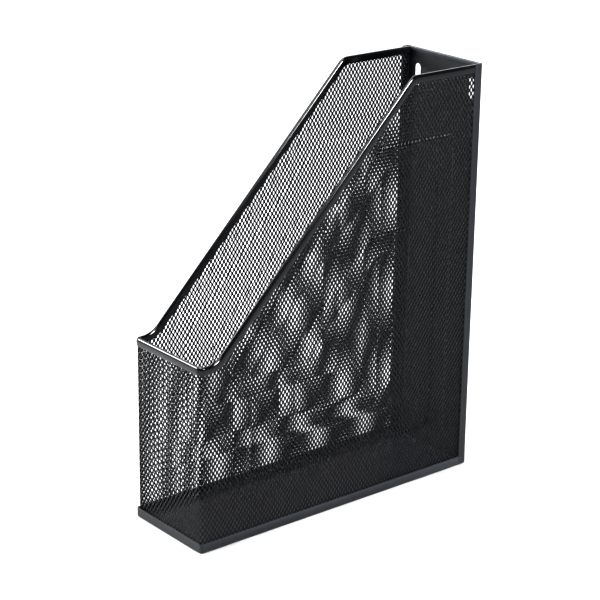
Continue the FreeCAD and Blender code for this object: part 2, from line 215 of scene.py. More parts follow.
def rib_corners(outline, inward):
    """The five corners of a rib's outline on a side wall, moved inwards, as rows of (y, z)."""
    front_gap, back_gap, low_gap, top_side, slope_gap = outline
    front = -HALF_D + front_gap + inward
    back = HALF_D - back_gap - inward
    low = low_gap + inward
    slope_z = TOP_VERTEX[1] - TOP_VERTEX[0] * math.tan(SLOPE) - slope_gap / math.cos(SLOPE)
    top = slope_z + (HALF_D - back_gap - top_side) * math.tan(SLOPE) - inward
    slope_z -= inward / math.cos(SLOPE)
    return np.array((
        (front, low),
        (back, low),
        (back, top),
        ((top - slope_z) / math.tan(SLOPE), top),
        (front, slope_z + front * math.tan(SLOPE)),
    ))


def rounded_outline(corners, radii, steps=8):
    """A closed outline with each corner replaced by steps points of its own tangent arc."""
    points = []
    for i, corner in enumerate(corners):
        before = corners[i - 1] - corner
        after = corners[(i + 1) % len(corners)] - corner
        room = CORNER_SHARE * min(np.linalg.norm(before), np.linalg.norm(after))
        before = before / np.linalg.norm(before)
        after = after / np.linalg.norm(after)
        half = math.acos(before @ after) / 2
        reach = min(radii[i] / math.tan(half), room)
        radius = reach * math.tan(half)
        middle = (before + after) / np.linalg.norm(before + after)
        centre = corner + middle * radius / math.sin(half)
        start = corner + before * reach - centre
        turn = math.pi - 2 * half
        angles = np.linspace(0, turn, steps)[:, None]
        side = np.array((-start[1], start[0]))
        points.append(centre + start * np.cos(angles) + side * np.sin(angles))
    return np.concatenate(points)


def depth_inside(y, z, outline):
    """Distance of points inside a closed convex outline, negative outside it."""
    nearest = np.full(y.shape, np.inf)
    inside = np.ones(y.shape, bool)
    for a, b in zip(outline, np.roll(outline, -1, axis=0)):
        run = b - a
        length = np.linalg.norm(run)
        if length < 1e-9:
            continue
        run = run / length
        along = np.clip((y - a[0]) * run[0] + (z - a[1]) * run[1], 0, length)
        distance = np.hypot(y - a[0] - run[0] * along, z - a[1] - run[1] * along)
        nearest = np.minimum(nearest, distance)
        inside &= (z - a[1]) * run[0] - (y - a[0]) * run[1] >= 0
    return np.where(inside, nearest, -nearest)


def rib_rise(y, z):
    """How far the pressed ribs stand out at points of a side wall.

    Each rib is a band between two rounded outlines. Its height goes from nothing to the full
    rise over the wall's run, along half a cosine wave, measured in from both outlines.
    """
    rise = np.zeros(y.shape)
    for outline in (OUTER_RIB, INNER_RIB):
        radii = (RIB_CORNER,) * 3 + (RIB_WIDE_CORNER,) * 2
        outer = depth_inside(y, z, rounded_outline(rib_corners(outline, 0), radii))
        inner = -depth_inside(y, z, rounded_outline(rib_corners(outline, RIB_WIDTH), radii))
        share = np.clip(np.minimum(outer, inner) / RIB_WALL_RUN, 0, 1)
        rise = np.maximum(rise, RIB_RISE * (1 - np.cos(math.pi * share)) / 2)
    return rise


# ---------------------------------------------------------------- mesh wall

def on_wall(s, z, out):
    """Points of the bent wall: s is the developed distance from the middle of the front.

    Straight across the front, a quarter circle round each front corner, straight to the back.
    out is the distance outwards from half the wall's thickness.
    """
    far = np.abs(s)
    side = np.sign(s)
    turn = np.clip((far - BEND_CENTRE) / BEND_RADIUS, 0, QUARTER)
    reach = BEND_RADIUS + out
    x = np.minimum(far, BEND_CENTRE) + reach * np.sin(turn)
    y = FRONT_BEND_Y - reach * np.cos(turn) + np.maximum(far - SIDE_START, 0)
    return np.stack((x * side, y, z), -1)


def squashed(depth):
    """Distance from a cut edge after the strands there have closed up: never past the edge."""
    return np.where(depth < SQUASH, SQUASH * np.exp(depth / SQUASH - 1), depth)


def opening_ring():
    """Eight points round one opening: |x / half width| ^ n + |z / half height| ^ n = 1."""
    angle = np.arange(8) * math.pi / 4
    x, z = np.cos(angle), np.sin(angle)
    size = (np.abs(x) ** OPENING_ROUNDNESS + np.abs(z) ** OPENING_ROUNDNESS) ** (-1 / OPENING_ROUNDNESS)
    return np.stack((x * size * OPENING_WIDTH / 2, z * size * OPENING_HEIGHT / 2), -1)


def diamond_ring():
    """Corners and side middles of the diamond that one opening takes up, in half pitches."""
    angle = np.arange(8) * math.pi / 4
    x, z = np.cos(angle), np.sin(angle)
    return np.round(2 * np.stack((x, z), -1) / (np.abs(x) + np.abs(z))[:, None]) / 2


def diamond_cells():
    """Column and row of every opening in the sheet, in half pitches, every second place used."""
    columns = int((SIDE_START + SIDE_LENGTH) / (DIAMOND_WIDTH / 2))
    rows = int((RIM_TOP - MESH_LOW) / (DIAMOND_HEIGHT / 2))
    i, j = np.meshgrid(np.arange(-columns, columns + 1), np.arange(rows + 1), indexing="ij")
    keep = (i + j) % 2 == 0
    i, j = i[keep], j[keep]
    s = i * DIAMOND_WIDTH / 2
    z = MESH_LOW + j * DIAMOND_HEIGHT / 2
    depth = edge_depth(s, z)[0]
    keep = (depth > 0) & (z > MESH_LOW) & (np.abs(s) < SIDE_START + SIDE_LENGTH)
    return i[keep], j[keep]


def side_y(s):
    """Place along a side wall of a developed distance from the middle of the front."""
    return FRONT_BEND_Y + np.abs(s) - SIDE_START


def edge_depth(s, z):
    """Distance below the mesh's cut upper edge, and the way from it as (along |s|, along z)."""
    return depth_below_edge(side_y(s), z, MESH_IN_RIM - RIM_HEIGHT / 2)


def mesh_wall():
    """The expanded sheet as one set of points and faces, and the number of each face's cell.

    Each opening is four rings of eight points: its diamond on the outer face, the opening's
    edge towards the outer face and towards the inner face, and its diamond on the inner face.
    Rings are joined in order, so every strand has a rounded crest on both sides. An opening's
    edge lies outwards at one side and inwards at the other, as stretching turns the strands.
    Neighbouring openings share their diamonds' points.
    """
    i, j = diamond_cells()
    half = np.array((DIAMOND_WIDTH, DIAMOND_HEIGHT)) / 2
    diamond = diamond_ring()
    opening = opening_ring()
    centre = np.stack((i, j), -1)
    crest = STRAND / 2
    edge = STRAND_EDGE / 2

    corner = centre[:, None, :] + diamond[None]
    reach = 4096                        # more quarter pitches than the sheet has either way
    key = np.round(corner * 2).astype(np.int64) + reach
    key = key[..., 0] * (2 * reach) + key[..., 1]
    _, first, place = np.unique(key.ravel(), return_index=True, return_inverse=True)
    place = place.reshape(key.shape)
    shared = corner.reshape(-1, 2)[first] * half
    rings = (centre * half)[:, None, :] + opening[None]
    rings = rings.reshape(-1, 2)
    own = np.arange(len(rings)).reshape(len(i), 8)
    turned = np.tile(-LOUVRE * opening[:, 0] / (OPENING_WIDTH / 2), len(i))
    flat = np.concatenate((shared, rings, rings, shared))
    out = np.concatenate((
        np.full(len(shared), crest), turned + edge, turned - edge,
        np.full(len(shared), -crest)))
    start = np.cumsum((0, len(shared), len(rings), len(rings)))
    index = np.stack((place, own + start[1], own + start[2], place + start[3]), 1)
    following = np.roll(index, -1, axis=2)
    faces = np.stack((
        index[:, :-1], following[:, :-1], following[:, 1:], index[:, 1:]), -1)

    s = flat[:, 0]
    z = flat[:, 1] + MESH_LOW
    depth, away = edge_depth(s, z)
    move = squashed(depth) - depth
    on_side = np.abs(s) > SIDE_START
    s = s + np.where(on_side, np.sign(s) * move * away[:, 0], 0)
    z = z + move * away[:, 1]
    z = MESH_LOW + squashed(z - MESH_LOW)
    end = SIDE_START + SIDE_LENGTH
    s = np.sign(s) * (end - squashed(end - np.abs(s)))
    rise = np.where(on_side, rib_rise(side_y(s), z), 0)
    points = on_wall(s, z, out + rise)
    return points, faces, i, j


def cut_piece(name, points, faces, normals, chosen):
    """One part of the sheet, closed along its cut edges through the sheet's thickness."""
    part = faces[chosen]
    outer = part[:, 0]
    inner = part[:, 2]
    a, b = outer[..., 0].ravel(), outer[..., 1].ravel()
    d, c = inner[..., 3].ravel(), inner[..., 2].ravel()
    low, high = np.minimum(a, b).astype(np.int64), np.maximum(a, b).astype(np.int64)
    edge_key = low * len(points) + high
    _, place, count = np.unique(edge_key, return_inverse=True, return_counts=True)
    lone = count[place] == 1
    ends = np.stack((b, a, d, c), -1)[lone]
    quads = np.concatenate((part.reshape(-1, 4), ends))
    used, quads = np.unique(quads, return_inverse=True)
    quads = quads.reshape(-1, 4)
    return make_piece(name, points[used], quads, normals[used])


def build_mesh_wall(finish):
    """The sheet in five parts: across the front, and a lower and an upper half of each side."""
    points, faces, i, j = mesh_wall()
    normals = vertex_normals(points, faces.reshape(-1, 4))
    pieces = []
    front = np.abs(i) <= SPLIT_COLUMN
    pieces.append(cut_piece("mesh_front", points, faces, normals, front))
    for name, side in (("right", i > SPLIT_COLUMN), ("left", i < -SPLIT_COLUMN)):
        middle = np.median(j[side])
        for part, rows in (("lower", j <= middle), ("upper", j > middle)):
            pieces.append(cut_piece(
                f"mesh_{name}_{part}", points, faces, normals, side & rows))
    for piece in pieces:
        piece.data.materials.append(finish)
        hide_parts("mesh_wall")


# ---------------------------------------------------------------- folded sheet

def arc_points(centre, radius, start, stop, steps):
    """Points of a circle's arc between two angles."""
    angle = np.linspace(start, stop, steps)
    return np.stack((
        centre[0] + radius * np.cos(angle), centre[1] + radius * np.sin(angle)), -1)


def run_points(a, b):
    """A straight side, with points close to its ends that keep it flat between rounded corners."""
    share = np.array((0.0, 0.06, 0.5, 0.94, 1.0))[:, None]
    return np.array(a) * (1 - share) + np.array(b) * share


def tray_chains(corner, bend):
    """A lip's section as (inwards, up): its outer line, and its inner line, floor to edge.

    Each is level, a quarter circle at the fold, upright, and a small quarter circle where
    the coat rounds the cut edge. Both have the same number of points.
    """
    outer = np.concatenate((
        [(corner, 0)],
        arc_points((bend, bend), bend, -QUARTER, -2 * QUARTER, 9),
        [(0, LIP / 2)],
        arc_points((EDGE, LIP - EDGE), EDGE, 2 * QUARTER, QUARTER, 4)))
    inner = np.concatenate((
        [(corner, SHEET)],
        arc_points((bend, bend), bend - SHEET, -QUARTER, -2 * QUARTER, 9),
        [(SHEET, LIP / 2)],
        arc_points((SHEET - EDGE, LIP - EDGE), EDGE, 0, QUARTER, 4)))
    return outer, inner


def side_places(floor_end, corner):
    """Even places down a tray's side, from the flat floor's far end to the corner."""
    return np.linspace(floor_end, corner, 6)


def tray_path(half_width, corner, floor_end, lip_end):
    """Stations round three sides of a tray: (across, along) of the outer face, and its way out.

    From the open end down one side, a quarter circle, across the closed end, and back up. The
    lips have a station wherever the floor's side has a point, so the two share their seam.
    """
    core = half_width - corner
    alongs = side_places(floor_end, corner)[:-1]
    if lip_end > floor_end:
        alongs = np.concatenate(([lip_end], alongs))
    places = [(half_width, along) for along in alongs]
    ways = [(1.0, 0.0)] * len(places)
    for turn in np.linspace(0, QUARTER, 9):
        way = (math.cos(turn), -math.sin(turn))
        places.append((core + corner * way[0], corner + corner * way[1]))
        ways.append(way)
    places = np.array(places)
    ways = np.array(ways)
    flip = np.array((-1.0, 1.0))
    return (np.concatenate((places, places[::-1] * flip)),
            np.concatenate((ways, ways[::-1] * flip)))


def flat_faces(loop, holes):
    """The points of an outline and then of its holes, and triangles that fill what is between."""
    loops = [loop] + holes
    points = np.concatenate(loops)
    edges = []
    start = 0
    for one in loops:
        edges += [(start + k, start + (k + 1) % len(one)) for k in range(len(one))]
        start += len(one)
    result = geometry.delaunay_2d_cdt([Vector(p) for p in points.tolist()], edges, [], 1, 1e-9)
    kept = []
    for triangle in result[2]:
        middle = np.mean([result[0][k] for k in triangle], axis=0)
        source = [result[3][k][0] for k in triangle]
        if not any(within(middle, hole) for hole in holes):
            kept.append(source)
    return points, kept


def within(point, loop):
    """Whether a point lies inside a closed convex loop, whichever way round it runs."""
    step = np.roll(loop, -1, axis=0) - loop
    away = point - loop
    side = step[:, 0] * away[:, 1] - step[:, 1] * away[:, 0]
    return bool(np.all(side > 0) or np.all(side < 0))


def slot_loop(x, height, grow):
    """A slot's outline: two half circles joined by straight sides, made larger by grow."""
    radius = SLOT_WIDTH / 2 + grow
    reach = (SLOT_HEIGHT - SLOT_WIDTH) / 2
    return np.concatenate((
        arc_points((x, height + reach), radius, 0, 2 * QUARTER, 15),
        arc_points((x, height - reach), radius, 2 * QUARTER, 4 * QUARTER, 15)))


class Sheet:
    """A mesh gathered from parts in local (across, along, up) places."""

    def __init__(self):
        self.points = []
        self.faces = []
        self.count = 0

    def add(self, points, faces):
        self.points.append(np.asarray(points, float))
        self.faces += [[int(k) + self.count for k in face] for face in faces]
        self.count += len(points)

    def add_grid(self, grid, turned=False):
        """A surface from a grid of points, its faces turned over if asked."""
        n, m = grid.shape[:2]
        index = np.arange(n * m).reshape(n, m)
        quads = np.stack((index[:-1, :-1], index[1:, :-1], index[1:, 1:], index[:-1, 1:]), -1)
        quads = quads.reshape(-1, 4)
        self.add(grid.reshape(-1, 3), quads[:, ::-1] if turned else quads)

    def add_flat(self, loop, holes, up, turned):
        """A flat region at one height, facing up, or down if turned."""
        points, faces = flat_faces(loop, holes)
        raised = np.concatenate((points, np.full((len(points), 1), up)), axis=1)
        kept = []
        for a, b, c in faces:
            area = np.cross(points[b] - points[a], points[c] - points[a])
            kept.append([a, b, c] if (area > 0) != turned else [a, c, b])
        self.add(raised, kept)


def add_tray(sheet, half_width, corner, bend, lip_end, floor_end, holes, hem):
    """A folded tray: three lips round a floor, open at its far end.

    lip_end and floor_end are how far the lips and the flat floor run along it, holes are
    slots' places, and hem says that something else closes the floor's far edge.
    """
    outer, inner = tray_chains(corner, bend)
    places, ways = tray_path(half_width, corner, floor_end, lip_end)
    section = np.concatenate((outer, inner[::-1]))
    grid = np.concatenate((
        places[:, None] - ways[:, None] * section[None, :, :1],
        np.broadcast_to(section[None, :, 1:], (len(places), len(section), 1))), -1)
    sheet.add_grid(grid, turned=True)
    for station, turned in ((grid[0], False), (grid[-1], True)):
        cap = np.stack((station[:len(outer)], station[:len(outer) - 1:-1]), 1)
        sheet.add_grid(cap, turned)
    core = half_width - corner
    along = side_places(floor_end, corner)
    side = np.stack((np.full(len(along), core), along), -1)
    loop = np.concatenate((side, side[::-1] * (-1, 1)))
    for up, turned in ((0, True), (SHEET, False)):
        sheet.add_flat(loop, [slot_loop(x, z, EDGE) for x, z in holes], up, turned)
    for x, z in holes:
        edge = arc_points((EDGE, SHEET - EDGE), EDGE, QUARTER, 2 * QUARTER, 4)
        chain = np.concatenate((edge, edge[::-1] * (1, -1) + (0, SHEET)))
        ring = [np.column_stack((slot_loop(x, z, grow), np.full(30, up))) for grow, up in chain]
        ring = np.array(ring)
        sheet.add_grid(np.concatenate((ring, ring[:, :1]), axis=1))
    if not hem:
        end = np.array([[(x, floor_end, up) for up in (0, SHEET)] for x in (-core, core)])
        sheet.add_grid(end)
    elif lip_end > floor_end:
        for x, turned in ((-core, True), (core, False)):
            end = np.array([[(x, along, up) for up in (0, SHEET)] for along in (floor_end, lip_end)])
            sheet.add_grid(end, turned)


def finish_sheet(name, sheet, to_place, finish, node_name):
    """A sheet's parts joined into one closed piece, placed in the frame and evenly shaded."""
    points = to_place(np.concatenate(sheet.points))
    piece = add_mixed_piece(name, points, sheet.faces, 40)
    piece.data.materials.append(finish)
    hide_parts(node_name)


def base_place(p):
    """The base's (across, along, up) in the frame: along runs from the front to the back."""
    return np.stack((p[:, 0], p[:, 1] - HALF_D, p[:, 2]), -1)


def back_place(p):
    """The back's (across, along, up) in the frame: along runs up, and up runs to the front."""
    return np.stack((p[:, 0], HALF_D - p[:, 2], p[:, 1]), -1)


def build_base(finish):
    """Floor and three lips, and a tongue over the back's bottom fold: a plate with eased edges."""
    sheet = Sheet()
    length = pan_end_y() + HALF_D
    add_tray(sheet, HALF_W, BASE_CORNER, BEND, length, length, [], False)
    tongue = HALF_W - BEND - LAP_SIDE_GAP
    add_plate(sheet, tongue, length - LAP_LENGTH / 2, length + LAP_LENGTH / 2, SHEET, 2 * SHEET)
    finish_sheet("base_sheet", sheet, base_place, finish, "base_pan")


def pan_end_y():
    """Where the base's lips meet the back panel's folded sides."""
    return pan_high.y - LAP_LENGTH / 2


def add_plate(sheet, half_across, start, end, low, high):
    """A rectangular plate whose edges are small quarter circles, carried round its outline."""
    edge = arc_points((0, 0), EDGE, -QUARTER, 0, 4)
    chain = np.concatenate((edge + (-EDGE, low + EDGE), arc_points((0, 0), EDGE, 0, QUARTER, 4)
                            + (-EDGE, high - EDGE)))
    rings = []
    for grow, up in chain:
        a, b, c = half_across + grow, start - grow, end + grow
        rings.append([(-a, b, up), (a, b, up), (a, c, up), (-a, c, up)])
    rings = np.array(rings)
    sheet.add_grid(np.concatenate((rings, rings[:, :1]), axis=1), turned=True)
    for ring, up, turned in ((rings[0], low, True), (rings[-1], high, False)):
        sheet.add_flat(ring[:, :2], [], up, turned)


def hem_chain():
    """The rolled top edge as (along, up): from the inner face over the crown to the outer face.

    Up the inner face, a half circle that leaves a thin slit, down the turned edge's back, round
    its cut end, up its front, and a half circle over the crown.
    """
    radius = HEM_THICKNESS / 2
    crown = TOP - radius
    low = TOP - HEM_DROP
    slit = radius - SHEET
    return np.concatenate((
        arc_points((crown, radius), slit, -QUARTER, QUARTER, 5),
        [(low + EDGE * 2, HEM_THICKNESS - SHEET)],
        arc_points((low + EDGE, HEM_THICKNESS - SHEET + EDGE), EDGE, -QUARTER, -2 * QUARTER, 4),
        arc_points((low + EDGE, HEM_THICKNESS - EDGE), EDGE, 2 * QUARTER, QUARTER, 4),
        arc_points((crown, radius), radius, QUARTER, -QUARTER, 17)))


def build_back(finish):
    """Tall panel with folded sides and bottom, a rolled top edge and two hanging slots."""
    sheet = Sheet()
    slots = [(x, TOP - SLOT_FROM_TOP) for x in (-HALF_W + SLOT_FROM_SIDE, HALF_W - SLOT_FROM_SIDE)]
    crown = TOP - HEM_THICKNESS / 2
    add_tray(sheet, HALF_W, BEND, BEND, TOP, crown, slots, True)
    core = HALF_W - BEND
    chain = hem_chain()
    grid = np.array([np.column_stack((np.full(len(chain), x), chain)) for x in (-core, core)])
    sheet.add_grid(grid)
    for end, turned in ((grid[0], True), (grid[-1], False)):
        faces = cap_faces(end[:, 1:], np.arange(len(end)), turned)
        sheet.add(end, faces)
    finish_sheet("back_sheet", sheet, back_place, finish, "back_panel")


# ---------------------------------------------------------------- rim

def rim_profile(with_outer_leg):
    """The channel's section as (inwards from the outer face, up from the lower edge).

    Up the outer leg from its turned-in edge, over the crown, which is a quarter ellipse and
    then a quarter circle, down the inner leg, round its curl, and back up inside. Without the
    outer leg it starts on the crown instead, for the ends of the channel, which are notched
    behind the back panel's folded sides.
    """
    r = RIM_THICKNESS / 2
    t = RIM_THICKNESS
    shoulder = RIM_HEIGHT - r
    slit_out = RIM_OUT - MESH_OUT - RIM_SLIT_GAP
    slit_in = RIM_OUT - MESH_OUT + MESH_THICKNESS + RIM_SLIT_GAP
    lip_edge = slit_out - RIM_LIP_EDGE
    lip_radius = (lip_edge ** 2 + RIM_LIP_CURVE ** 2) / (2 * lip_edge)
    lip_turn = math.asin(RIM_LIP_CURVE / lip_radius)
    cavity = r - RIM_WALL
    inner_leg = [
        run_points((t, shoulder), (t, RIM_CURL)),
        arc_points((t - RIM_CURL, RIM_CURL), RIM_CURL, 0, -QUARTER, 9),
        run_points((t - RIM_CURL, 0), (slit_in, 0)),
        run_points((slit_in, 0), (slit_in, RIM_WALL)),
        arc_points((t - RIM_CURL, RIM_CURL), RIM_CURL - RIM_WALL, -QUARTER, 0, 6),
        run_points((t - RIM_WALL, RIM_CURL), (t - RIM_WALL, shoulder)),
    ]
    if with_outer_leg:
        slit_angle = math.acos(-(r - slit_out) / cavity) if r - slit_out < cavity else math.pi
        crown_start = (r, RIM_LIP_CURVE)
        crown = arc_points((0, 0), r, math.pi, QUARTER, 14) * (1, RIM_CROWN / r) + crown_start
        outer_leg = [
            run_points((slit_out, 0), (lip_edge, 0)),
            arc_points((lip_radius, RIM_LIP_CURVE), lip_radius, math.pi + lip_turn, math.pi, 9),
            crown,
            arc_points((r, shoulder), r, QUARTER, 0, 13),
        ]
        inside = [
            arc_points((r, shoulder), cavity, 0, slit_angle, 13),
            run_points((slit_out, shoulder + cavity * math.sin(slit_angle)), (slit_out, 0)),
        ]
    else:
        notch = RIM_OUT - MESH_OUT + RIM_FLANGE_GAP
        outer_leg = [arc_points((r, shoulder), r, math.acos((notch - r) / r), 0, 21)]
        inside = [arc_points((r, shoulder), cavity, 0, math.acos((notch - r) / cavity), 11)]
    profile = np.concatenate(outer_leg + inner_leg + inside)
    step = np.linalg.norm(profile - np.roll(profile, 1, axis=0), axis=1)
    return profile[step > 1e-6]


def rim_path():
    """Stations down one side of the rim, from the back to the middle of the front.

    Each is a point halfway up the outer face, the way inwards and the way up the channel:
    level, an arc about the upper bend's centre, the slope, an arc about the lower bend's
    centre, level, a quarter turn round the front corner, and along the front.
    """
    stations = []

    def on_side(y, z, tilt):
        up = (0, -math.sin(tilt), math.cos(tilt))
        stations.append(((RIM_OUT, y, z), (-1, 0, 0), up))

    start_y = HALF_D - LIP - RIM_FLANGE_GAP
    for y in np.linspace(start_y, TOP_CENTRE[0], 4)[:-1]:
        on_side(y, TOP_MID_Z, 0)
    for tilt in np.linspace(0, SLOPE, 17):
        on_side(TOP_CENTRE[0] - TOP_BEND * math.sin(tilt),
                TOP_CENTRE[1] + TOP_BEND * math.cos(tilt), tilt)
    slope_top = np.array(stations[-1][0][1:])
    slope_low = LOW_CENTRE + LOW_BEND * np.array((math.sin(SLOPE), -math.cos(SLOPE)))
    for share in np.linspace(0, 1, 8)[1:-1]:
        on_side(*(slope_top * (1 - share) + slope_low * share), SLOPE)
    for tilt in np.linspace(SLOPE, 0, 21):
        on_side(LOW_CENTRE[0] + LOW_BEND * math.sin(tilt),
                LOW_CENTRE[1] - LOW_BEND * math.cos(tilt), tilt)
    for turn in np.linspace(0, QUARTER, 15):
        way = np.array((math.cos(turn), -math.sin(turn), 0))
        centre = np.array((BEND_CENTRE, FRONT_BEND_Y, LOW_MID_Z))
        stations.append((tuple(centre + way * RIM_CORNER), tuple(-way), (0, 0, 1)))
    for x in np.linspace(BEND_CENTRE, 0, 5)[1:]:
        stations.append(((x, FRONT_BEND_Y - RIM_CORNER, LOW_MID_Z), (0, 1, 0), (0, 0, 1)))
    return stations


def swept(profile, stations):
    """A closed profile carried along stations, and capped at both ends.

    Point = station + inwards * profile's first number + up * (its second less half the height).
    """
    place = np.array([s[0] for s in stations], float)
    inwards = np.array([s[1] for s in stations], float)
    up = np.array([s[2] for s in stations], float)
    grid = (place[:, None] + inwards[:, None] * profile[None, :, :1]
            + up[:, None] * (profile[None, :, 1:] - RIM_HEIGHT / 2))
    n, m = grid.shape[:2]
    index = np.arange(n * m).reshape(n, m)
    following = np.roll(index, -1, axis=1)
    faces = np.stack((index[:-1], index[1:], following[1:], following[:-1]), -1).reshape(-1, 4)
    return grid.reshape(-1, 3), faces, index


def cap_faces(profile, index, flip):
    """Triangles that close a swept profile's end."""
    loop = [Vector(p) for p in profile.tolist()]
    triangles = geometry.delaunay_2d_cdt(
        loop, [], [list(range(len(loop)))], 1, 1e-9)[2]
    faces = []
    for triangle in triangles:
        corners = [int(index[k]) for k in triangle]
        if flip:
            corners.reverse()
        faces.append(corners)
    return faces


def add_mixed_piece(name, points, faces, sharp_degrees):
    """A closed piece from faces with three or more corners, its shared points joined.

    Every edge has to join exactly two faces, and all the faces are turned outwards. Flat faces
    keep their own shading up to a rounded edge, and edges sharper than sharp_degrees stay crisp.
    """
    mesh = bpy.data.meshes.new(name)
    mesh.from_pydata(points.tolist(), [], faces)
    shape = bmesh.new()
    shape.from_mesh(mesh)
    bmesh.ops.remove_doubles(shape, verts=shape.verts, dist=JOIN)
    bmesh.ops.dissolve_degenerate(shape, edges=shape.edges, dist=JOIN)
    bmesh.ops.recalc_face_normals(shape, faces=shape.faces)
    if shape.calc_volume(signed=True) < 0:
        bmesh.ops.reverse_faces(shape, faces=shape.faces)
    loose = sum(not edge.is_contiguous for edge in shape.edges)
    if loose:
        raise ValueError(f"{name} has {loose} edges that don't join two faces one way round")
    shape.to_mesh(mesh)
    shape.free()
    mesh.polygons.foreach_set("use_smooth", np.ones(len(mesh.polygons), bool))
    mesh.set_sharp_from_angle(angle=math.radians(sharp_degrees))
    piece = bpy.data.objects.new(name, mesh)
    bpy.context.scene.collection.objects.link(piece)
    evener = piece.modifiers.new("even_shading", "WEIGHTED_NORMAL")
    evener.keep_sharp = True
    evener.weight = 100
    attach(piece, "root")
    return piece


def build_rim(finish):
    """The whole channel, and its two notched ends behind the back panel's folded sides."""
    right = rim_path()
    mirror = [((-p[0], p[1], p[2]), (-i[0], i[1], i[2]), u) for p, i, u in right[:-1]]
    stations = right + mirror[::-1]
    profile = rim_profile(True)
    points, faces, index = swept(profile, stations)
    faces = faces.tolist()
    faces += cap_faces(profile, index[0], False)
    faces += cap_faces(profile, index[-1], True)
    rim = add_mixed_piece("rim_channel", points, faces, 35)
    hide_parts("top_rim")
    rim.data.materials.append(finish)
    end_profile = rim_profile(False)
    start_y = HALF_D - LIP - RIM_FLANGE_GAP
    for name, side in (("right", 1), ("left", -1)):
        ends = [((side * RIM_OUT, y, TOP_MID_Z), (-side, 0, 0), (0, 0, 1))
                for y in (rim_high.y, start_y)]
        points, faces, index = swept(end_profile, ends)
        faces = faces.tolist()
        faces += cap_faces(end_profile, index[0], False)
        faces += cap_faces(end_profile, index[-1], True)
        end = add_mixed_piece("rim_end_" + name, points, faces, 35)
        end.data.materials.append(finish)
        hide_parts("top_rim")


# ---------------------------------------------------------------- materials

def linear(code):
    """An sRGB hex colour as linear red, green, blue and alpha."""
    channels = [int(code[k:k + 2], 16) / 255 for k in (1, 3, 5)]
    return [c / 12.92 if c <= 0.04045 else ((c + 0.055) / 1.055) ** 2.4 for c in channels] + [1.0]


def add_node(tree, kind, links=None, **settings):
    """A node with its settings and its inputs: a socket is linked, anything else is a value."""
    node = tree.nodes.new(kind)
    for key, value in settings.items():
        setattr(node, key, value)
    for key, value in (links or {}).items():
        if isinstance(value, bpy.types.NodeSocket):
            tree.links.new(value, node.inputs[key])
        else:
            node.inputs[key].default_value = value
    return node


PAINT_IOR = 1.5
MOTTLE = 45 * MM                        # distance between patches of thinner paint


def painted_steel(name, colour, worn, edge, roughness, level, grain, grain_depth):
    """Black paint on steel: a broken colour, an uneven sheen and the paint's fine orange peel.

    colour and worn are the paint and its thinner patches, edge is a lighter colour on every
    convex fold and cut edge: partly paint running thin there, partly a painted highlight. level
    is how strongly it mirrors, grain the distance between the peel's bumps and grain_depth their
    height.
    """
    material = bpy.data.materials.new(name)
    material.use_nodes = True
    tree = material.node_tree
    tree.nodes.clear()
    place = add_node(tree, "ShaderNodeTexCoord").outputs["Object"]
    broad = add_node(tree, "ShaderNodeTexNoise", {
        "Vector": place, "Scale": 1 / MOTTLE, "Detail": 4.0, "Roughness": 0.6})
    fine = add_node(tree, "ShaderNodeTexNoise", {
        "Vector": place, "Scale": 1 / grain, "Detail": 2.0, "Roughness": 0.5})
    tint = add_node(tree, "ShaderNodeMapRange", {
        "Value": broad.outputs["Fac"], "From Min": 0.35, "From Max": 0.7,
        "To Min": 0.0, "To Max": 1.0})
    mottled = add_node(tree, "ShaderNodeMix", {
        "Factor": tint.outputs["Result"], "A": linear(colour), "B": linear(worn)},
        data_type="RGBA")
    # edge colour on convex folds and cut edges, from how sharp they are: thinner paint there, and a
    # painted highlight
    bend = add_node(tree, "ShaderNodeNewGeometry").outputs["Pointiness"]
    thin_paint_and_highlight = add_node(tree, "ShaderNodeMapRange", {
        "Value": bend, "From Min": 0.52, "From Max": 0.62, "To Min": 0.0, "To Max": 1.0})
    paint = add_node(tree, "ShaderNodeMix", {
        "Factor": thin_paint_and_highlight.outputs["Result"], "A": mottled.outputs["Result"], "B": linear(edge)},
        data_type="RGBA")
    sheen = add_node(tree, "ShaderNodeMapRange", {
        "Value": broad.outputs["Fac"], "From Min": 0.3, "From Max": 0.7,
        "To Min": roughness * 0.88, "To Max": roughness * 1.12})
    peel = add_node(tree, "ShaderNodeBump", {
        "Height": fine.outputs["Fac"], "Strength": 1.0, "Distance": grain_depth})
    shader = add_node(tree, "ShaderNodeBsdfPrincipled", {
        "Base Color": paint.outputs["Result"], "Roughness": sheen.outputs["Result"],
        "Normal": peel.outputs["Normal"], "IOR": PAINT_IOR, "Specular IOR Level": level,
        "Metallic": 0.0})
    add_node(tree, "ShaderNodeOutputMaterial", {"Surface": shader.outputs["BSDF"]})
    return material


def satin_powder_coat():
    """Powder-coated pressed steel: a soft satin black with a faint pebble, edges painted lighter: a
    thinner coat and a painted highlight.
    """
    return painted_steel(
        # edge: lighter colour on folds and cut edges, thinner coat there and a painted highlight
        "satin_powder_coat", colour="#15171a", worn="#1c1e23", edge="#34373d",
        roughness=0.40, level=0.5, grain=1.3 * MM, grain_depth=0.02 * MM)


def dipped_mesh_paint():
    """Paint dipped over expanded steel: glossier than powder, rounded over every strand."""
    return painted_steel(
        # edge: strand crests painted a little lighter, thinner paint there and a painted highlight
        "dipped_mesh_paint", colour="#060709", worn="#0b0c0e", edge="#101215",
        roughness=0.22, level=0.3, grain=0.9 * MM, grain_depth=0.01 * MM)


def gloss_rim_enamel():
    """Stoved gloss enamel on the folded rim: sharp streaks of light along its crown."""
    return painted_steel(
        # edge: crown and curls painted a little lighter, thinner enamel there and a painted highlight
        "gloss_rim_enamel", colour="#07080a", worn="#0b0c0e", edge="#131518",
        roughness=0.12, level=0.5, grain=2.0 * MM, grain_depth=0.003 * MM)


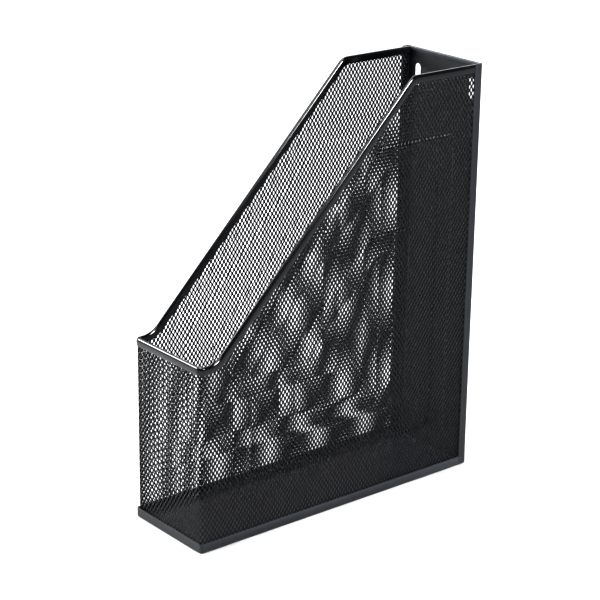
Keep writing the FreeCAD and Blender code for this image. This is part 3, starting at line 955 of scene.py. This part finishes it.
def pale_floor_paint():
    """Matt white paper sweep under the holder: even and bright, with hardly any sheen."""
    material = bpy.data.materials.new("pale_paper_sweep")
    material.use_nodes = True
    tree = material.node_tree
    tree.nodes.clear()
    shader = add_node(tree, "ShaderNodeBsdfPrincipled", {
        "Base Color": linear("#d6d7d8"), "Roughness": 0.9, "IOR": 1.4})
    add_node(tree, "ShaderNodeOutputMaterial", {"Surface": shader.outputs["BSDF"]})
    return material


# ---------------------------------------------------------------- studio

CAMERA_AIM = Vector((-0.0023, -0.00659, 0.15319))       # the place that it looks at
CAMERA_DISTANCE = 1.41897
CAMERA_AZIMUTH = math.radians(50.506)       # from the front towards the right side
CAMERA_ELEVATION = math.radians(19.538)
CAMERA_ROLL = math.radians(0.792)
CAMERA_LENS = 116.0                         # millimetres, as the sensor's width
SENSOR = 36.0

MIDDLE = Vector((0.0, 0.0, TOP / 2))
SLOPE_TOP = Vector((0.0, 0.03, 0.27))       # the slope's upper half, which the right light picks out
OVERHEAD_STRENGTH = 2.5
OVERHEAD_WIDTH = 40                         # degrees of sky that it fills
OVERHEAD_TILT = 15                          # degrees from straight down
WORLD_STRENGTH = 0.15
FLOOR_REACH = 6.0
FLOOR_GAP = 0.1 * MM                        # keeps the floor just under the holder's underside


def add_camera():
    """A long lens from the right front, a little above the holder's top."""
    camera = bpy.data.objects.new("camera", bpy.data.cameras.new("camera"))
    bpy.context.scene.collection.objects.link(camera)
    camera.data.sensor_width = SENSOR
    camera.data.lens = CAMERA_LENS
    camera.data.clip_start = 0.05
    camera.data.clip_end = 50
    turn = (Matrix.Rotation(CAMERA_AZIMUTH, 4, "Z")
            @ Matrix.Rotation(QUARTER - CAMERA_ELEVATION, 4, "X")
            @ Matrix.Rotation(CAMERA_ROLL, 4, "Z"))
    back = turn.to_3x3() @ Vector((0, 0, 1))
    camera.matrix_world = Matrix.Translation(CAMERA_AIM + back * CAMERA_DISTANCE) @ turn
    bpy.context.scene.camera = camera


def add_softbox(name, aim, azimuth, elevation, distance, width, height, radiance, spread):
    """A flat light seen from aim at azimuth (as the camera's) and elevation, in degrees.

    Its power is its radiance times pi times its area, so its reflections keep their
    brightness when its size is changed. Spread is the width of its beam, in degrees: a
    narrow beam gathers the same power, so the power is cut by as much.
    """
    light = bpy.data.lights.new(name, "AREA")
    light.shape = "RECTANGLE"
    light.size = width
    light.size_y = height
    light.spread = math.radians(spread)
    gathered = math.radians(min(spread, 179)) / 2
    gain = math.tan(gathered) / (math.tan(gathered) - gathered)
    light.energy = radiance * math.pi * width * height / gain
    lamp = bpy.data.objects.new(name, light)
    bpy.context.scene.collection.objects.link(lamp)
    around, up = math.radians(azimuth), math.radians(elevation)
    way = Vector((math.sin(around) * math.cos(up), -math.cos(around) * math.cos(up), math.sin(up)))
    lamp.location = aim + way * distance
    lamp.rotation_euler = (-way).to_track_quat("-Z", "Y").to_euler()


def add_overhead():
    """A very large soft light far overhead: even over the whole floor, with no hard shadow."""
    light = bpy.data.lights.new("overhead", "SUN")
    light.energy = OVERHEAD_STRENGTH
    light.angle = math.radians(OVERHEAD_WIDTH)
    lamp = bpy.data.objects.new("overhead", light)
    bpy.context.scene.collection.objects.link(lamp)
    lamp.rotation_euler = (math.radians(OVERHEAD_TILT), 0, 0)


def add_floor():
    """A plain square floor round the holder."""
    a = FLOOR_REACH
    points = [(-a, -a, 0), (a, -a, 0), (a, a, 0), (-a, a, 0)]
    mesh = bpy.data.meshes.new("floor")
    mesh.from_pydata(points, [], [(0, 1, 2, 3)])
    floor = bpy.data.objects.new("floor", mesh)
    bpy.context.scene.collection.objects.link(floor)
    floor.location.z = -FLOOR_GAP
    mesh.materials.append(pale_floor_paint())


def add_world():
    """A faint even light from all round, so nothing falls to pure black."""
    world = bpy.data.worlds.new("studio")
    bpy.context.scene.world = world
    world.use_nodes = True
    background = world.node_tree.nodes["Background"]
    background.inputs["Color"].default_value = linear("#f2f4f6")
    background.inputs["Strength"].default_value = WORLD_STRENGTH


# ---------------------------------------------------------------- put together

bpy.context.scene.view_settings.view_transform = "Standard"
bpy.context.scene.view_settings.look = "High Contrast"
coat = satin_powder_coat()
build_base(coat)
build_back(coat)
build_mesh_wall(dipped_mesh_paint())
build_rim(gloss_rim_enamel())
add_camera()
add_floor()
add_world()
# a streak along the rim's front run
add_softbox("left_front", MIDDLE, azimuth=-57, elevation=25, distance=1.8,
            width=0.9, height=0.6, radiance=21.0, spread=180)
# a narrow beam that draws the streak down the slope's upper half
add_softbox("right", SLOPE_TOP, azimuth=93, elevation=29, distance=1.5,
            width=0.42, height=0.34, radiance=130.0, spread=36)
# a weak light along the top edges
add_softbox("left_back", MIDDLE, azimuth=-133, elevation=36, distance=2.4,
            width=1.6, height=1.0, radiance=5.0, spread=180)
add_overhead()
